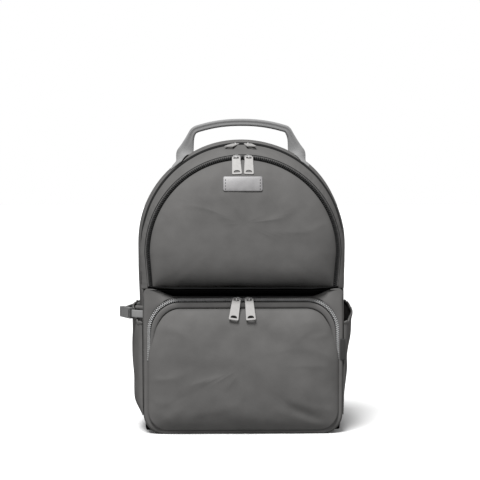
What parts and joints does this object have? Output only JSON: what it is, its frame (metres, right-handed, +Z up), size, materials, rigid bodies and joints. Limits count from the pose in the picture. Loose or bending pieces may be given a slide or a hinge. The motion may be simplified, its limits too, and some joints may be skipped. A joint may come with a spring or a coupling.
{
  "type": "daypack",
  "caption": "Grey fabric daypack with a round top that folds forward, two zipped front pockets, side pockets, a webbing carry handle and padded shoulder straps.",
  "frame": {"origin": "middle of the base, on the surface the bag stands on", "axes": "+Z up; the front with its pockets faces -Y, the shoulder straps are at +Y; +X is to the right seen from the front"},
  "size_m": [0.332, 0.2005, 0.448],
  "materials": {
    "shell_fabric": "fine grey nylon twill with a soft satin sheen",
    "lining_fabric": "thin dark grey woven lining",
    "spacer_mesh": "open knitted spacer mesh",
    "webbing": "light grey ribbed webbing",
    "board_plastic": "flat stiffening sheet",
    "patch_leather": "smooth grey leather, stitched, no mark",
    "tag_fabric": "plain folded woven loop",
    "buckle_plastic": "moulded dark plastic",
    "zip_tape": "dark woven zip tape",
    "zip_coil": "moulded dark zip teeth",
    "slider_metal": "satin cast metal",
    "pull_metal": "satin silver metal"
  },
  "bodies": {
    "pack": {"back_panel": "shell_fabric", "back_pad_left": "spacer_mesh", "back_pad_right": "spacer_mesh", "strap_yoke": "shell_fabric", "strap_wing_left": "shell_fabric", "strap_wing_right": "shell_fabric", "base_panel": "shell_fabric", "side_panel_left": "shell_fabric", "side_panel_right": "shell_fabric", "rear_gusset": "shell_fabric", "base_board": "board_plastic", "laptop_sleeve": "lining_fabric", "pocket_divider": "lining_fabric", "front_frame": "shell_fabric", "lower_pocket_base": "shell_fabric", "main_zip_tape_rear": "zip_tape", "main_zip_coil_rear": "zip_coil", "lower_zip_tape_outer": "zip_tape", "lower_zip_coil_outer": "zip_coil", "side_pocket_left": "shell_fabric", "side_pocket_right": "shell_fabric", "side_tag": "tag_fabric", "side_strap_front": "webbing", "side_buckle_female": "buckle_plastic", "side_strap_rear": "webbing", "handle_anchors": "webbing"},
    "main_flap": {"front_gusset": "shell_fabric", "flap_divider": "lining_fabric", "upper_pocket_floor": "lining_fabric", "main_zip_tape_front": "zip_tape", "main_zip_coil_front": "zip_coil", "upper_zip_tape_outer": "zip_tape", "upper_zip_coil_outer": "zip_coil"},
    "upper_flap": {"upper_pocket_panel": "shell_fabric", "upper_zip_tape_inner": "zip_tape", "upper_zip_coil_inner": "zip_coil", "leather_patch": "patch_leather"},
    "lower_flap": {"lower_pocket_panel": "shell_fabric", "lower_zip_tape_inner": "zip_tape", "lower_zip_coil_inner": "zip_coil"},
    "handle": {"carry_handle": "webbing"},
    "side_buckle": {"side_buckle_male": "buckle_plastic"},
    "strap_left": {"strap_pad_left": "shell_fabric", "ladder_lock_left": "buckle_plastic", "strap_webbing_left": "webbing"},
    "strap_right": {"strap_pad_right": "shell_fabric", "ladder_lock_right": "buckle_plastic", "strap_webbing_right": "webbing"},
    "main_slider_left": {"main_slider_left": "slider_metal"},
    "main_pull_left": {"main_pull_left": "pull_metal"},
    "main_slider_right": {"main_slider_right": "slider_metal"},
    "main_pull_right": {"main_pull_right": "pull_metal"},
    "upper_slider_left": {"upper_slider_left": "slider_metal"},
    "upper_pull_left": {"upper_pull_left": "pull_metal"},
    "upper_slider_right": {"upper_slider_right": "slider_metal"},
    "upper_pull_right": {"upper_pull_right": "pull_metal"},
    "lower_slider_left": {"lower_slider_left": "slider_metal"},
    "lower_pull_left": {"lower_pull_left": "pull_metal"},
    "lower_slider_right": {"lower_slider_right": "slider_metal"},
    "lower_pull_right": {"lower_pull_right": "pull_metal"}
  },
  "joints": [
    {"name": "main_flap_fold", "type": "hinge", "parent": "pack", "child": "main_flap", "pos_m": [0, -0.08, 0.208], "axis": [1, 0, 0], "range_deg": [0, 45]},
    {"name": "upper_pocket_fold", "type": "hinge", "parent": "main_flap", "child": "upper_flap", "pos_m": [0, -0.08, 0.212], "axis": [1, 0, 0], "range_deg": [0, 45]},
    {"name": "lower_pocket_fold", "type": "hinge", "parent": "pack", "child": "lower_flap", "pos_m": [0, -0.082, 0.106], "axis": [1, 0, 0], "range_deg": [0, 45]},
    {"name": "handle_swing", "type": "hinge", "parent": "pack", "child": "handle", "pos_m": [0, 0.042, 0.4], "axis": [1, 0, 0], "range_deg": [-50, 50], "stiffness_Nm_per_rad": 0.06},
    {"name": "main_slider_left_travel", "type": "hinge", "parent": "main_flap", "child": "main_slider_left", "pos_m": [0, 0, 0.267], "axis": [0, -1, 0], "range_deg": [0, 84]},
    {"name": "main_pull_left_swing", "type": "hinge", "parent": "main_slider_left", "child": "main_pull_left", "pos_m": [-0.01029, 0, 0.41404], "axis": [-0.9976, 0, -0.0698], "range_deg": [0, 150]},
    {"name": "main_slider_right_travel", "type": "hinge", "parent": "main_flap", "child": "main_slider_right", "pos_m": [0, 0, 0.267], "axis": [0, 1, 0], "range_deg": [0, 84]},
    {"name": "main_pull_right_swing", "type": "hinge", "parent": "main_slider_right", "child": "main_pull_right", "pos_m": [0.00823, 0, 0.41417], "axis": [-0.9984, 0, 0.0558], "range_deg": [0, 150]},
    {"name": "upper_slider_left_travel", "type": "hinge", "parent": "upper_flap", "child": "upper_slider_left", "pos_m": [0, -0.0453, 0.257], "axis": [0, -1, 0], "range_deg": [0, 45]},
    {"name": "upper_pull_left_swing", "type": "hinge", "parent": "upper_slider_left", "child": "upper_pull_left", "pos_m": [-0.00999, -0.0495, 0.39263], "axis": [-0.9973, 0, -0.0735], "range_deg": [0, 120]},
    {"name": "upper_slider_right_travel", "type": "hinge", "parent": "upper_flap", "child": "upper_slider_right", "pos_m": [0, -0.0453, 0.257], "axis": [0, 1, 0], "range_deg": [0, 45]},
    {"name": "upper_pull_right_swing", "type": "hinge", "parent": "upper_slider_right", "child": "upper_pull_right", "pos_m": [0.008, -0.0495, 0.39276], "axis": [-0.9983, 0, 0.0588], "range_deg": [0, 120]},
    {"name": "lower_slider_left_travel", "type": "slide", "parent": "lower_flap", "child": "lower_slider_left", "axis": [-1, 0, 0], "range_m": [0, 0.06]},
    {"name": "lower_pull_left_swing", "type": "hinge", "parent": "lower_slider_left", "child": "lower_pull_left", "pos_m": [-0.01, -0.0626, 0.192], "axis": [-1, 0, 0], "range_deg": [0, 85]},
    {"name": "lower_slider_right_travel", "type": "slide", "parent": "lower_flap", "child": "lower_slider_right", "axis": [1, 0, 0], "range_m": [0, 0.06]},
    {"name": "lower_pull_right_swing", "type": "hinge", "parent": "lower_slider_right", "child": "lower_pull_right", "pos_m": [0.008, -0.0626, 0.192], "axis": [-1, 0, 0], "range_deg": [0, 85]},
    {"name": "side_buckle_release", "type": "slide", "parent": "pack", "child": "side_buckle", "axis": [-0.42, 0.9075, 0], "range_m": [0, 0.02], "deforming": ["side_strap_rear"]},
    {"name": "strap_left_swing", "type": "hinge", "parent": "pack", "child": "strap_left", "pos_m": [-0.044, 0.088, 0.386], "axis": [-0.2265, -0.0099, -0.974], "range_deg": [-20, 20]},
    {"name": "strap_right_swing", "type": "hinge", "parent": "pack", "child": "strap_right", "pos_m": [0.044, 0.088, 0.386], "axis": [0.2265, -0.0099, -0.974], "range_deg": [-20, 20]}
  ],
  "couplings": [
    {"joint": "main_slider_left_travel", "follows": "main_flap_fold", "ratio": 1.86},
    {"joint": "main_slider_right_travel", "follows": "main_flap_fold", "ratio": 1.86},
    {"joint": "upper_slider_left_travel", "follows": "upper_pocket_fold", "ratio": 1},
    {"joint": "upper_slider_right_travel", "follows": "upper_pocket_fold", "ratio": 1},
    {"joint": "lower_slider_left_travel", "follows": "lower_pocket_fold", "m_per_rad": 0.07627},
    {"joint": "lower_slider_right_travel", "follows": "lower_pocket_fold", "m_per_rad": 0.07627}
  ]
}
